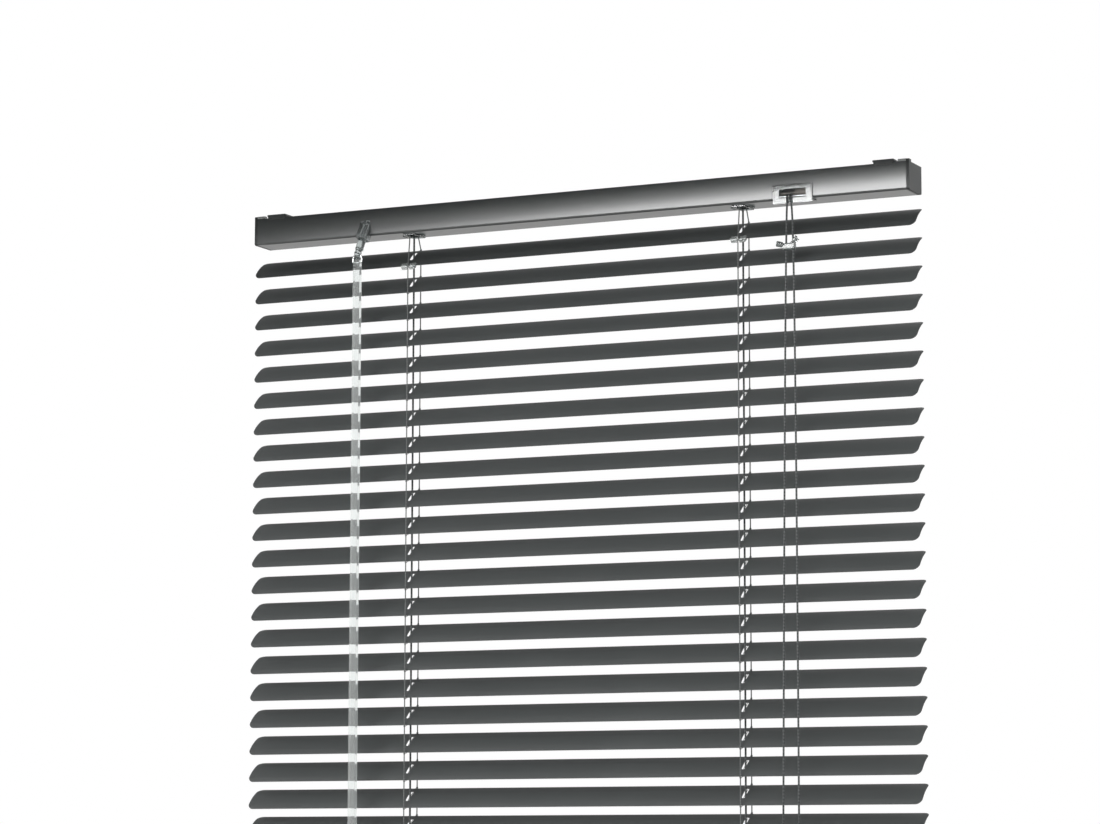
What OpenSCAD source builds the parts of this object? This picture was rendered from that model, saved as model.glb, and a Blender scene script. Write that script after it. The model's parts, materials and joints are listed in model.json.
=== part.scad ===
// Aluminium venetian blind with its headrail, tilt gear, lift cords, slats and bottom rail.
// Millimetres. X runs along the rail, the room is at -Y, and Z is up from the brackets' ceiling face.

/* [Slats] */
// Length of a slat
slat_len = 570; // [500:10:900]
// Width of a slat across its chord
slat_w = 25; // [24:0.5:26]
// Height of a slat's crown
slat_crown = 2.2; // [1.6:0.1:2.6]
// Sheet thickness of a slat
slat_t = 0.25; // [0.2:0.05:0.4]
// Radius of a slat's end corners
slat_corner = 5; // [2:0.5:8]
// Number of slats
slat_count = 22; // [10:1:22]
// Height from one slat to the next
slat_pitch = 21.5; // [20:0.5:23]
// Tilt of the slats at rest, front edge down
slat_tilt = 38; // [20:1:50]
// Length of a route hole, across the slat
route_len = 12; // [10:0.5:14]
// Width of a route hole
route_w = 3; // [2.5:0.5:4]
// Drop from the headrail's underside to the first slat's axis
first_drop = 17.9; // [17:0.1:24]

/* [Headrail] */
// Amount by which the headrail is shorter than the slats
rail_short = 5; // [2:1:10]
// Depth of the headrail, front to back
rail_d = 27; // [27:0.5:30]
// Height of the headrail
rail_h = 21.5; // [21.5:0.5:25]
// Sheet thickness of the headrail
rail_t = 0.6; // [0.5:0.1:0.8]
// Outer radius of the headrail's lower edges
rail_corner = 1.6; // [1:0.1:2.5]
// Width of the turned-in top lips
lip_w = 4.5; // [3:0.5:5]
// Depth of the lips' turned-down edge
lip_drop = 1.6; // [1:0.1:2]
// Thickness of an end cap's outer wall
cap_wall = 2.5; // [1:0.1:3]
// Depth of an end cap's plug in the rail
cap_plug = 7; // [4:0.5:10]
// Length of an end cap's top lug
lug_len = 6.5; // [4:0.5:8]

/* [Brackets] */
// Height of a bracket above the headrail
bracket_rise = 2.5; // [2:0.1:4]
// Width of a bracket along the rail
bracket_w = 17; // [12:1:24]
// Sheet thickness of a bracket
bracket_t = 1.2; // [1:0.1:1.6]
// Distance from the rail's end to a bracket's middle
bracket_inset = 20.5; // [18:0.5:40]
// Reach of a bracket's hooks down the rail's faces
bracket_hook = 1.3; // [1:0.1:4]
// Radius of a bracket's screw hole
screw_r = 2.25; // [1.5:0.05:2.5]

/* [Ladders] */
// Distance from the slat's end to a ladder
ladder_inset = 142.5; // [120:0.5:180]
// Radius of a ladder string
string_r = 0.45; // [0.3:0.05:0.5]
// Gap between a slat's edge and a ladder string's middle
string_gap = 1.5; // [1.5:0.1:2.5]
// Distance of the strings from the middle where they leave the rail
string_exit = 7; // [6.8:0.1:7.2]
// Radius of a tilt drum's groove
drum_r = 5.6; // [5:0.1:5.8]
// Radius of a tilt drum's flanges
drum_flange_r = 7; // [6.5:0.1:7.2]
// Width of a tilt drum's groove
drum_groove = 7.8; // [6:0.2:9]
// Reach of a cradle's wings to each side
wing_reach = 9.4; // [8.5:0.1:12]
// Width of a first-slat clip
clip_w = 13; // [10:0.5:16]

/* [Tilter] */
// Distance from the slat's end to the tilter
tilter_inset = 105; // [80:0.5:112]
// Width of the tilt rod across its flats
rod_af = 5; // [4.5:0.1:5.5]
// Angle of the worm from the vertical
worm_angle = 30; // [28:1:34]
// Distance between the worm's axis and the rod's axis
worm_centre = 8; // [7.8:0.1:8.2]
// Teeth of the worm wheel
gear_teeth = 12; // [10:1:14]
// Pitch radius of the worm wheel
gear_r = 5.2; // [5:0.1:5.4]
// Radius of the worm's stem
stem_r = 3.3; // [3:0.1:3.6]
// Distance from the worm's middle to the eye of its stem
stem_reach = 38; // [36:0.5:44]
// Distance from the worm's middle to the snout's end
snout_reach = 22; // [20:0.5:24]
// Width of the snout
snout_w = 8.2; // [7.6:0.1:9]
// Length of the wand
wand_len = 465; // [300:5:600]
// Width of the wand across its corners
wand_w = 7; // [6:0.2:8]
// Radius of the wand hook's wire
hook_r = 0.6; // [0.5:0.05:0.7]

/* [Cord lock] */
// Distance from the slat's end to the cord lock's middle
lock_inset = 96; // [80:0.5:110]
// Width of the lock's trim plate
lock_w = 32; // [30:0.5:36]
// Height of the trim plate on the rail's face
lock_h = 11.5; // [11:0.5:13]
// Thickness of the trim plate
lock_t = 1.2; // [1:0.1:1.6]
// Reach of the trim plate below the rail
lock_drop = 3; // [2:0.5:4]
// Width of the lock's opening
lock_open_w = 22; // [20:0.5:23]
// Height of the lock's opening
lock_open_h = 7; // [6:0.5:7.5]
// Radius of the knurled roller
roller_r = 2.9; // [2.4:0.1:3]
// Travel of the roller along its slanted slots
roller_travel = 3; // [2:0.5:4]

/* [Cords] */
// Radius of the lift and pull cords
cord_r = 0.75; // [0.6:0.05:0.8]
// Drop of the pull cords below the headrail
pull_drop = 478; // [300:1:480]
// Length of a tassel
tassel_len = 26; // [20:1:34]
// Radius of a tassel
tassel_r = 4.5; // [3.5:0.5:5]

/* [Bottom rail] */
// Distance from the last slat's axis to the bottom rail's axis
bottom_gap = 26; // [25:0.5:32]
// Depth of the bottom rail below its crown
bottom_h = 9; // [8:0.5:11]
// Wall of the bottom rail
bottom_t = 0.6; // [0.5:0.1:0.9]

/* [Hidden] */
$fn = 48;
fit = 0.1;
run_gap = 0.15;
clear = 0.3;
eps = 0.01;
big = 60;

// Levels and stations of the assembly
rail_top = -bracket_rise;
rail_bot = rail_top - rail_h;
rail_mid = (rail_top + rail_bot) / 2;
rail_y = rail_d / 2;
rail_len = slat_len - rail_short;
rail_x = rail_len / 2;
ladder_x = slat_len / 2 - ladder_inset;
bracket_x = rail_x - bracket_inset;
rod_z = rail_mid + 0.75;
first_z = rail_bot - first_drop;
last_z = first_z - (slat_count - 1) * slat_pitch;
bottom_z = last_z - bottom_gap;

// Slat section: an arc about a point below the axis, with the crown's mid height on the axis
slat_arc_r = (slat_w * slat_w / 4 + slat_crown * slat_crown) / (2 * slat_crown);
slat_arc_z = slat_crown / 2 - slat_arc_r;

// Places of the ladder strings on a tilted slat, as [y, z] from its axis
function tilted(u, h) = [
    u * cos(slat_tilt) - h * sin(slat_tilt),
    u * sin(slat_tilt) + h * cos(slat_tilt)
];
string_u = slat_w / 2 + string_gap;
string_at = [for (side = [-1, 1]) tilted(side * string_u, -slat_crown / 2)];

// Cradle and drum
cradle_open_x = 4;
cradle_open_y = string_exit + 1.2;
cradle_rim = 1.2;
cradle_base_t = 1.5;
cheek_t = 2;
journal_r = 4.2;
flange_t = 1;
cheek_in = drum_groove / 2 + flange_t + clear;
clip_reach = 1.6;
clip_nose = 2.2;
clip_front = -slat_w / 2 - clip_nose;
hub_w = cheek_in + cheek_t;

// Worm and wheel: the thread's pitch along the worm is the wheel's pitch round its rim
tilter_x = -slat_len / 2 + tilter_inset;
tooth_out = 0.75;
tooth_in = 0.85;
worm_r = worm_centre - gear_r;
worm_pitch = 2 * PI * gear_r / gear_teeth;
worm_top = -4.2;
worm_end = 5.4;
worm_mid = [0, -worm_centre * cos(worm_angle), rod_z + worm_centre * sin(worm_angle)];
worm_dir = [0, -sin(worm_angle), -cos(worm_angle)];
stem_eye = worm_mid + stem_reach * worm_dir;
shaft_r = 2.2;
eye_r = 3.2;
eye_hole_r = 2;
eye_t = 2.4;
hub_r = 4.2;
housing_x = 7;
bail_neck = eye_t / 2 + hook_r + 0.7;
bail_w = wand_w / 2 * cos(30) + clear + hook_r;
bail_slope = 2.4;
bail_drop = eye_r + 3.4;
wand_top = stem_eye[2] - eye_r - 0.9;

// Cord lock
lock_x = slat_len / 2 - lock_inset;
lock_top = rail_bot + lock_h;
lock_open_z = rail_bot + 0.9;
lock_lip = 8;
lock_cut = 6;
lock_wall = 1.6;
cheek_x = lock_open_w / 2 + 1;
axle_r = 1.1;
slot_angle = 30;
roller_at = [-rail_y + 4, rail_bot + 5.4];
pin_r = 0.8;
pin_at = [-rail_y + 0.5, rail_bot + 2.4];
cord_in = [-rail_y + 3.1, roller_at[1] - axle_r - cord_r - clear];
cheek_back = -rail_y + 9.3;
cheek_top = rail_bot + 15.5;

// Lift cords: the run inside the rail lies under the drums
inner_z = rail_bot + rail_t + cradle_base_t + cord_r + fit;
bend_r = 3;
pass_y = 2.2;
lock_cord_x = [lock_x - 3.5, lock_x - 1];

// Pull cords: over the lock's bar, then down in slight bows to the tassels
over_pin = pin_at[1] + pin_r + cord_r + clear;
pull_y = pin_at[0] - 3.2;
pull_lean = 4.8;
pull_drift = [-4.5, 5.6];
pull_bow = [0.6, 0.35];
pull_start = rail_bot - 2;
cord_split = 1.1;
pull_steps = 10;
function pull_fall(i, s) = [
    lock_cord_x[i] + pull_drift[i] * pow(s, pull_bow[i]),
    pull_y - pull_lean * s,
    pull_start - (pull_drop + rail_bot - pull_start) * s
];
function pull_route(i) = concat(
    [
        [lock_cord_x[i], cord_in[0] - cord_split, over_pin],
        [lock_cord_x[i], pin_at[0] - 0.2, over_pin],
        [lock_cord_x[i], pin_at[0] - 1.8, pin_at[1] + 1],
        [lock_cord_x[i], pin_at[0] - 2.9, pin_at[1] - 1]
    ],
    [for (k = [0:pull_steps]) pull_fall(i, pow(k / pull_steps, 2))]
);
tassel_bore = 6;
equaliser_at = [lock_x - 1.6, pull_y - clear, rail_bot - 37];

function slat_name(i) = str("slat_", i < 10 ? "0" : "", i);
FIXED_NODES = [
    "headrail", "end_cap_left", "end_cap_right", "bracket_left", "bracket_right",
    "tilt_rod", "drum_left", "drum_right", "cradle_left", "cradle_right",
    "tilter_housing", "tilter_gear", "tilter_worm", "wand_hook", "wand", "wand_grip",
    "cord_lock_body", "cord_lock_roller", "cord_lock_pin", "lift_cord_left", "lift_cord_right",
    "ladder_front", "ladder_back", "ladder_front_ends", "ladder_back_ends",
    "ladder_left_lead", "ladder_right_lead", "slat_clips",
    "bottom_rail", "bottom_cap_left", "bottom_cap_right", "cord_plugs",
    "cord_equaliser", "pull_cord_left", "pull_cord_right", "tassel_left", "tassel_right"
];

anthracite = [0.30, 0.31, 0.31];
clear_plastic = [0.85, 0.88, 0.88, 0.5];
cord_grey = [0.22, 0.23, 0.23];
steel = [0.72, 0.73, 0.74];

// Extrudes a section drawn as [y, z] along X, centred on x = 0
module along_x(length) {
    translate([-length / 2, 0, 0])
        rotate([90, 0, 90])
            linear_extrude(length)
                children();
}

// A rectangle with rounded corners, made of squares and circles
module rounded(w, h, r) {
    square([w - 2 * r, h], center = true);
    square([w, h - 2 * r], center = true);
    for (x = [-1, 1], y = [-1, 1])
        translate([x * (w / 2 - r), y * (h / 2 - r)])
            circle(r);
}

// A straight round stretch from one point to another
module stretch(a, b, r) {
    d = b - a;
    translate(a)
        rotate([0, acos(d[2] / norm(d)), atan2(d[1], d[0])])
            cylinder(h = norm(d), r = r);
}

// A cord swept along its route, with the given number of flat sides
function ring_frame(d, ref) =
    let (t = d / norm(d), s = cross(t, ref), u = s / norm(s))
        [u, cross(t, u)];

module swept(route, r, sides, ref) {
    n = len(route);
    points = [
        for (i = [0:n - 1])
            let (f = ring_frame(route[min(i + 1, n - 1)] - route[max(i - 1, 0)], ref))
                for (k = [0:sides - 1])
                    route[i] + r * (cos(360 * k / sides) * f[0] + sin(360 * k / sides) * f[1])
    ];
    walls = [
        for (i = [0:n - 2], k = [0:sides - 1])
            let (a = i * sides + k, b = i * sides + (k + 1) % sides)
                each [[a, b + sides, b], [a, a + sides, b + sides]]
    ];
    first = [for (k = [0:sides - 1]) k];
    last = [for (k = [sides - 1:-1:0]) (n - 1) * sides + k];
    polyhedron(points, concat(walls, [first, last]), convexity = 6);
}

// Headrail: U-channel with rounded lower edges and turned-in lips
module rail_outline(grow) {
    h = rail_h + 2 * grow;
    w = rail_d + 2 * grow;
    r = rail_corner + grow;
    translate([0, rail_mid]) {
        rounded(w, h, r);
        translate([0, r / 2])
            square([w, h - r], center = true);
    }
}

module rail_section() {
    difference() {
        rail_outline(0);
        rail_outline(-rail_t);
        translate([0, rail_top])
            square([rail_d - 2 * lip_w, 4 * rail_t], center = true);
    }
    for (side = [-1, 1])
        translate([side * (rail_y - lip_w + rail_t / 2), rail_top - lip_drop / 2])
            square([rail_t, lip_drop], center = true);
}

module cradle_hole(grow) {
    square([2 * (cradle_open_x + cradle_rim + grow), 2 * (cradle_open_y + cradle_rim + grow)], center = true);
}

module snout(w, from, to) {
    translate([tilter_x, 0, 0])
        translate(worm_mid)
            rotate([180 - worm_angle, 0, 0])
                translate([0, 0, from])
                    linear_extrude(to - from)
                        square(w, center = true);
}

module headrail() {
    color(anthracite)
        difference() {
            along_x(rail_len - 2 * cap_wall)
                rail_section();
            for (side = [-1, 1])
                translate([side * ladder_x, 0, rail_bot - eps])
                    linear_extrude(2 * rail_t)
                        cradle_hole(fit);
            snout(snout_w + 2 * fit, 5, big);
            translate([lock_x, -rail_y, rail_bot])
                cube([2 * cheek_x + lock_wall + 2 * lock_t, 2 * lock_cut, 2 * (lock_h - lock_t)], center = true);
        }
}

// End cap: outer wall with the rail's outline, a hollow plug and a lug on the front lip
module end_cap(side) {
    color(anthracite)
        translate([side * (rail_x - cap_wall / 2), 0, 0]) {
            along_x(cap_wall)
                rail_outline(0);
            translate([-side * (cap_wall + cap_plug) / 2, 0, 0])
                along_x(cap_plug + eps)
                    difference() {
                        translate([0, rail_mid - lip_drop / 2])
                            square([rail_d - 2 * rail_t - 2 * fit, rail_h - lip_drop - 4 * rail_t], center = true);
                        translate([0, rail_mid - lip_drop / 2])
                            square([rail_d - 6, rail_h - lip_drop - 7], center = true);
                    }
            translate([-side * (lug_len + cap_wall) / 2, -rail_y + lip_w / 2, rail_top + (bracket_rise - clear) / 2])
                rotate([0, 90, 0])
                    linear_extrude(lug_len, center = true)
                        rounded(bracket_rise - clear, lip_w, 0.8);
            translate([0, -rail_y + lip_w / 2, rail_top - eps])
                translate([-cap_wall / 2, -lip_w / 2, 0])
                    cube([cap_wall, lip_w, bracket_rise - 2 * clear]);
        }
}

module end_cap_left() { end_cap(-1); }
module end_cap_right() { end_cap(1); }

// Bracket: formed plate with a front nose, a rear spring tongue and two seats on the rail's lips
module bracket(side) {
    plate_d = rail_d + 2 * (bracket_t + fit);
    color(anthracite)
        translate([side * bracket_x, 0, 0])
            difference() {
                union() {
                    translate([0, 0, -bracket_t])
                        linear_extrude(bracket_t)
                            rounded(bracket_w, plate_d, 1);
                    for (face = [-1, 1])
                        translate([0, face * (rail_y + fit + bracket_t / 2), 0])
                            rotate([90, 0, 0])
                                translate([0, -(bracket_rise + bracket_hook) / 2, 0])
                                    linear_extrude(bracket_t, center = true)
                                        rounded(bracket_w - 2, bracket_rise + bracket_hook, 0.9);
                    for (face = [-1, 1])
                        translate([-bracket_w / 2 + 1, face * (rail_y - lip_w / 2) - 1.2, rail_top])
                            cube([bracket_w - 2, 2.4, bracket_rise - bracket_t + eps]);
                }
                translate([0, 0, -bracket_t - eps])
                    cylinder(h = bracket_t + 2 * eps, r = screw_r);
            }
}

module bracket_left() { bracket(-1); }
module bracket_right() { bracket(1); }

// Tilt rod: hexagonal steel bar through the tilter and both drums
rod_from = tilter_x - 14;
rod_to = ladder_x + 16;

module hex_section(af) {
    rotate(30)
        circle(af / sqrt(3), $fn = 6);
}

module tilt_rod() {
    color(steel)
        translate([(rod_from + rod_to) / 2, 0, rod_z])
            along_x(rod_to - rod_from)
                hex_section(rod_af);
}

// Tilt drum: grooved spool with journals, on the hexagonal rod
module drum(side) {
    color("gainsboro")
        translate([side * ladder_x, 0, rod_z])
            along_x(2 * hub_w)
                difference() {
                    circle(journal_r);
                    hex_section(rod_af + fit);
                }
    color("gainsboro")
        translate([side * ladder_x, 0, rod_z]) {
            along_x(drum_groove)
                difference() {
                    circle(drum_r);
                    circle(journal_r - eps);
                }
            for (face = [-1, 1])
                translate([face * (drum_groove + flange_t) / 2, 0, 0])
                    along_x(flange_t + eps)
                        difference() {
                            circle(drum_flange_r);
                            circle(journal_r - eps);
                        }
        }
}

module drum_left() { drum(-1); }
module drum_right() { drum(1); }

// Cradle: base in the rail, two open saddles for the drum and looped wings under the rail
module cradle(side) {
    saddle_y = 6;
    color(clear_plastic)
        translate([side * ladder_x, 0, 0])
            difference() {
                union() {
                    translate([0, 0, rail_bot + rail_t])
                        linear_extrude(cradle_base_t)
                            square([2 * hub_w + 4, rail_d - 6], center = true);
                    translate([0, 0, rail_bot - cradle_rim])
                        linear_extrude(cradle_rim + rail_t + eps)
                            cradle_hole(0);
                    translate([0, 0, rail_bot - cradle_rim])
                        linear_extrude(cradle_rim)
                            rounded(2 * wing_reach, 8, 3);
                    for (face = [-1, 1])
                        translate([face * (cheek_in + cheek_t / 2), 0, 0])
                            along_x(cheek_t)
                                translate([0, (rail_bot + rail_t + rod_z) / 2 + 1])
                                    square([2 * saddle_y, rod_z - rail_bot - rail_t + 2], center = true);
                }
                translate([0, 0, rail_bot - 2 * cradle_rim])
                    linear_extrude(2 * cradle_rim + rail_t + cradle_base_t + eps)
                        square([2 * cradle_open_x, 2 * cradle_open_y], center = true);
                translate([0, 0, rod_z])
                    along_x(2 * hub_w + 4)
                        union() {
                            circle(journal_r + run_gap);
                            translate([0, journal_r])
                                square([2 * (journal_r + run_gap), 2 * journal_r], center = true);
                        }
                translate([0, 0, inner_z])
                    along_x(2 * hub_w + 8)
                        square([2 * (pass_y + cord_r + clear), 2 * (cord_r + fit)], center = true);
                for (face = [-1, 1])
                    translate([face * (wing_reach + cradle_open_x + cradle_rim) / 2, 0, rail_bot - cradle_rim - eps])
                        linear_extrude(cradle_rim + 2 * eps)
                            rounded(2, 4, 0.9);
            }
}

module cradle_left() { cradle(-1); }
module cradle_right() { cradle(1); }

// Worm wheel: straight teeth on a round hub that turns in the housing
module gear_tooth() {
    polygon([
        [gear_r - tooth_in - 0.3, -0.8], [gear_r, -0.5], [gear_r + tooth_out, -0.28],
        [gear_r + tooth_out, 0.28], [gear_r, 0.5], [gear_r - tooth_in - 0.3, 0.8]
    ]);
}

module tilter_gear() {
    color("gainsboro")
        translate([tilter_x, 0, rod_z])
            difference() {
                union() {
                    along_x(4)
                        for (i = [0:gear_teeth - 1])
                            rotate(180 - worm_angle + (i + 0.5) * 360 / gear_teeth)
                                gear_tooth();
                    along_x(4)
                        circle(gear_r - tooth_in);
                    along_x(2 * housing_x)
                        circle(hub_r - eps);
                }
                along_x(2 * housing_x + 2)
                    hex_section(rod_af + fit);
            }
}

// Worm: left-hand thread on a shaft, with a stem that ends in an eye
thread_steps = 20;

module worm_thread() {
    turns = (worm_end - worm_top - 2) / worm_pitch;
    rings = ceil(turns * thread_steps);
    profile = [
        [worm_r - tooth_in - 0.2, -0.72], [worm_r + tooth_out, -0.26],
        [worm_r + tooth_out, 0.26], [worm_r - tooth_in - 0.2, 0.72]
    ];
    start = worm_top + 1;
    points = [
        for (i = [0:rings], p = profile)
            let (z = start + i * worm_pitch / thread_steps, a = -90 - 360 * z / worm_pitch)
                [p[0] * cos(a), p[0] * sin(a), z + p[1]]
    ];
    sides = [
        for (i = [0:rings - 1], k = [0:3])
            let (a = 4 * i + k, b = 4 * i + (k + 1) % 4)
                each [[a, b + 4, b], [a, a + 4, b + 4]]
    ];
    last = 4 * rings;
    ends = [[0, 1, 2], [0, 2, 3], [last, last + 3, last + 2], [last, last + 2, last + 1]];
    polyhedron(points, concat(sides, ends), convexity = 8);
}

module tilter_worm() {
    neck = stem_reach - 4;
    color(clear_plastic)
        translate([tilter_x, 0, 0])
            translate(worm_mid)
                rotate([180 - worm_angle, 0, 0]) {
                    translate([0, 0, worm_top - 1.8])
                        cylinder(h = 1.9, r = 1.5);
                    translate([0, 0, worm_top])
                        cylinder(h = worm_end - worm_top, r = worm_r - tooth_in);
                    worm_thread();
                    translate([0, 0, worm_end - eps])
                        cylinder(h = snout_reach - worm_end + 2, r = shaft_r);
                    translate([0, 0, snout_reach + clear])
                        cylinder(h = neck - snout_reach - clear - 2, r = stem_r);
                    translate([0, 0, neck - 2 - eps])
                        cylinder(h = 2, r1 = stem_r, r2 = 1.6);
                    difference() {
                        translate([0, 0, stem_reach])
                            along_x(eye_t) {
                                circle(eye_r);
                                translate([-eye_r, neck - 1 - stem_reach])
                                    square([2 * eye_r, stem_reach - neck + 1]);
                            }
                        translate([0, 0, stem_reach])
                            along_x(2 * eye_t)
                                circle(eye_hole_r);
                    }
                }
}

// Tilter housing: clear block in the rail with room for worm and wheel, and a square snout
module housing_outline() {
    front = -rail_y + rail_t + 0.2;
    step = -rail_y + lip_w + 0.4;
    floor = rail_bot + rail_t + 0.2;
    roof = rail_top - rail_t;
    bend = 1.5;
    polygon([
        [front + bend, floor], [front, floor + bend], [front, roof - lip_drop - 0.8],
        [step, roof - lip_drop - 0.8], [step, roof], [8, roof], [8, floor]
    ]);
}

module tilter_housing() {
    color(clear_plastic)
        difference() {
            union() {
                translate([tilter_x, 0, 0])
                    along_x(2 * housing_x - 0.4)
                        housing_outline();
                snout(snout_w, 8, snout_reach);
            }
            translate([tilter_x, 0, rod_z]) {
                along_x(2 * housing_x + 2)
                    circle(hub_r + run_gap);
                along_x(5)
                    circle(gear_r + tooth_out + 0.6);
            }
            translate([tilter_x, 0, 0])
                translate(worm_mid)
                    rotate([180 - worm_angle, 0, 0]) {
                        translate([0, 0, worm_top - 0.3])
                            cylinder(h = worm_end - worm_top + 0.8, r = worm_r + tooth_out + 0.4);
                        translate([0, 0, worm_top - 2.1])
                            cylinder(h = 2, r = 1.5 + run_gap);
                        cylinder(h = snout_reach + 1, r = shaft_r + run_gap);
                    }
        }
}

// Wand hook: closed bail of round wire through the worm's eye and the wand's cross hole
module wire_loop(corners, r, bend, sides) {
    n = len(corners);
    route = [
        for (i = [0:n - 1], way = [-1, 1])
            let (d = corners[(i + way + n) % n] - corners[i])
                corners[i] + bend * d / norm(d)
    ];
    rings = len(route);
    points = [
        for (i = [0:rings - 1])
            let (
                a = route[i] - route[(i + rings - 1) % rings],
                b = route[(i + 1) % rings] - route[i],
                t = a / norm(a) + b / norm(b),
                f = ring_frame(t, [0, 1, 0]),
                mitre = norm(a) * norm(t) / (a * t)
            )
                for (k = [0:sides - 1])
                    route[i] + r * (mitre * cos(360 * k / sides) * f[0] + sin(360 * k / sides) * f[1])
    ];
    walls = [
        for (i = [0:rings - 1], k = [0:sides - 1])
            let (
                a = i * sides + k,
                b = i * sides + (k + 1) % sides,
                c = (i + 1) % rings * sides + k,
                d = (i + 1) % rings * sides + (k + 1) % sides
            )
                each [[a, d, b], [a, c, d]]
    ];
    polyhedron(points, walls, convexity = 6);
}

module wand_hook() {
    half = [[bail_neck, 0], [bail_w, -bail_slope], [bail_w, -bail_drop]];
    corners = concat(
        [for (p = half) [p[0], 0, p[1]]],
        [for (i = [2:-1:0]) [-half[i][0], 0, half[i][1]]]
    );
    color(steel)
        translate([tilter_x, stem_eye[1], stem_eye[2]])
            wire_loop(corners, hook_r, 0.8, 12);
}

// Wand: hexagonal acrylic bar, cross-drilled for the hook
module wand() {
    color(clear_plastic)
        difference() {
            translate([tilter_x, stem_eye[1], wand_top - wand_len])
                linear_extrude(wand_len)
                    rotate(30)
                        circle(wand_w / 2, $fn = 6);
            translate([tilter_x, stem_eye[1], stem_eye[2] - bail_drop])
                along_x(2 * wand_w)
                    circle(hook_r + fit);
        }
}

// Wand grip: moulded end piece, sleeved on the wand
module wand_grip() {
    sleeve = 14;
    wall = 1.1;
    r = wand_w / 2 + fit + wall;
    color(clear_plastic)
        translate([tilter_x, stem_eye[1], wand_top - wand_len - 3])
            difference() {
                rotate_extrude()
                    polygon([[0, 0], [r - 1.6, 0], [r, 1.6], [r, 5], [r - 0.6, sleeve + 3], [0, sleeve + 3]]);
                translate([0, 0, 3 - fit])
                    linear_extrude(sleeve + 1)
                        rotate(30)
                            circle(wand_w / 2 + fit, $fn = 6);
            }
}

// Cord lock: trim plate with its opening, a lip under the rail and two slotted cheeks
module lock_cheek() {
    floor = rail_bot + rail_t + 2 * fit;
    translate([-rail_y - lock_t / 2, floor])
        square([2 * lock_t, lock_top - 2 * lock_t - floor]);
    translate([-rail_y + rail_t + clear, floor])
        square([cheek_back + rail_y - rail_t - clear, cheek_top - floor]);
}

module cord_lock_body() {
    color(clear_plastic)
        translate([lock_x, 0, 0])
            difference() {
                union() {
                    translate([0, -rail_y - lock_t / 2, (lock_top + rail_bot - lock_drop) / 2])
                        rotate([90, 0, 0])
                            linear_extrude(lock_t, center = true)
                                rounded(lock_w, lock_top - rail_bot + lock_drop, 0.8);
                    translate([-lock_w / 2, -rail_y - lock_t + eps, rail_bot - lock_t])
                        cube([lock_w, lock_lip + lock_t, lock_t]);
                    for (side = [-1, 1])
                        translate([side * cheek_x, 0, 0])
                            along_x(lock_wall)
                                lock_cheek();
                }
                translate([-lock_open_w / 2, -rail_y - 2 * lock_t, lock_open_z])
                    cube([lock_open_w, 3 * lock_t, lock_open_h]);
                translate([-lock_open_w / 2, -rail_y + 1.6, rail_bot - 2 * lock_t])
                    cube([lock_open_w, lock_lip - 4, 3 * lock_t]);
                translate([0, roller_at[0], roller_at[1]])
                    along_x(lock_w)
                        rotate(-slot_angle) {
                            circle(axle_r + run_gap);
                            translate([0, roller_travel])
                                circle(axle_r + run_gap);
                            translate([-axle_r - run_gap, 0])
                                square([2 * (axle_r + run_gap), roller_travel]);
                        }
                translate([0, pin_at[0], pin_at[1]])
                    along_x(lock_open_w + 4.6)
                        circle(pin_r + fit / 2);
            }
}

// Pinch roller: knurled brass drum on a long axle that rides in the slanted slots
module cord_lock_roller() {
    flutes = 18;
    flute_r = 0.3;
    color("peru")
        translate([lock_x, roller_at[0], roller_at[1]]) {
            along_x(2 * cheek_x + 1.2)
                circle(axle_r);
            translate([lock_open_w / 4 + 0.4, 0, 0])
                along_x(lock_open_w / 2 - 1.2)
                    difference() {
                        circle(roller_r);
                        circle(axle_r - eps);
                        for (i = [0:flutes - 1])
                            rotate(i * 360 / flutes)
                                translate([roller_r, 0])
                                    circle(flute_r);
                    }
        }
}

// Guide bar that the cords leave the lock over
module cord_lock_pin() {
    color(steel)
        translate([lock_x, pin_at[0], pin_at[1]])
            along_x(lock_open_w + 4.4)
                circle(pin_r);
}

// Lift cord: up from the bottom rail, round the cradle's edge and along the rail to the lock
module lift_cord(x, y, end_x) {
    bend = [
        for (a = [180:-22.5:90])
            [x + bend_r + bend_r * cos(a), 0, inner_z - bend_r + bend_r * sin(a)]
    ];
    run = [
        [x + 12, y, inner_z], [end_x - 15, y, inner_z],
        [end_x - 6, y / 2 - 3, inner_z], [end_x, cord_in[0], cord_in[1]]
    ];
    color(cord_grey)
        swept(concat([[x, 0, bottom_z]], bend, run), cord_r, 8, [0, 1, 0]);
}

module lift_cord_left() { lift_cord(-ladder_x, pass_y, lock_cord_x[1]); }
module lift_cord_right() { lift_cord(ladder_x, 0, lock_cord_x[0]); }

// Ladder strings: upright along the slats' edges, from the first slat to the last
module ladder_strings(face) {
    at = string_at[face];
    color(cord_grey)
        for (side = [-1, 1])
            translate([side * ladder_x, at[0], last_z + at[1]])
                cylinder(h = first_z - last_z, r = string_r);
}

module ladder_front() { ladder_strings(0); }
module ladder_back() { ladder_strings(1); }

// String ends: the stretch below the last slat, which folds as the bottom rail rises
module ladder_ends(face) {
    at = string_at[face];
    color(cord_grey)
        for (side = [-1, 1])
            translate([side * ladder_x, at[0], bottom_z + at[1]])
                cylinder(h = bottom_gap - fit, r = string_r);
}

module ladder_front_ends() { ladder_ends(0); }
module ladder_back_ends() { ladder_ends(1); }

// Ladder leads: from the drum's groove through the cradle to the first slat's edges
module ladder_lead(side) {
    leave = drum_r + string_r + fit;
    color(cord_grey)
        for (face = [0, 1]) {
            dir = 2 * face - 1;
            at = string_at[face];
            swept([
                [side * ladder_x, dir * leave, rod_z],
                [side * ladder_x, dir * string_exit, rail_bot],
                [side * ladder_x, at[0], first_z + at[1] + clear]
            ], string_r, 8, [1, 0, 0]);
        }
}

module ladder_left_lead() { ladder_lead(-1); }
module ladder_right_lead() { ladder_lead(1); }

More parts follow.
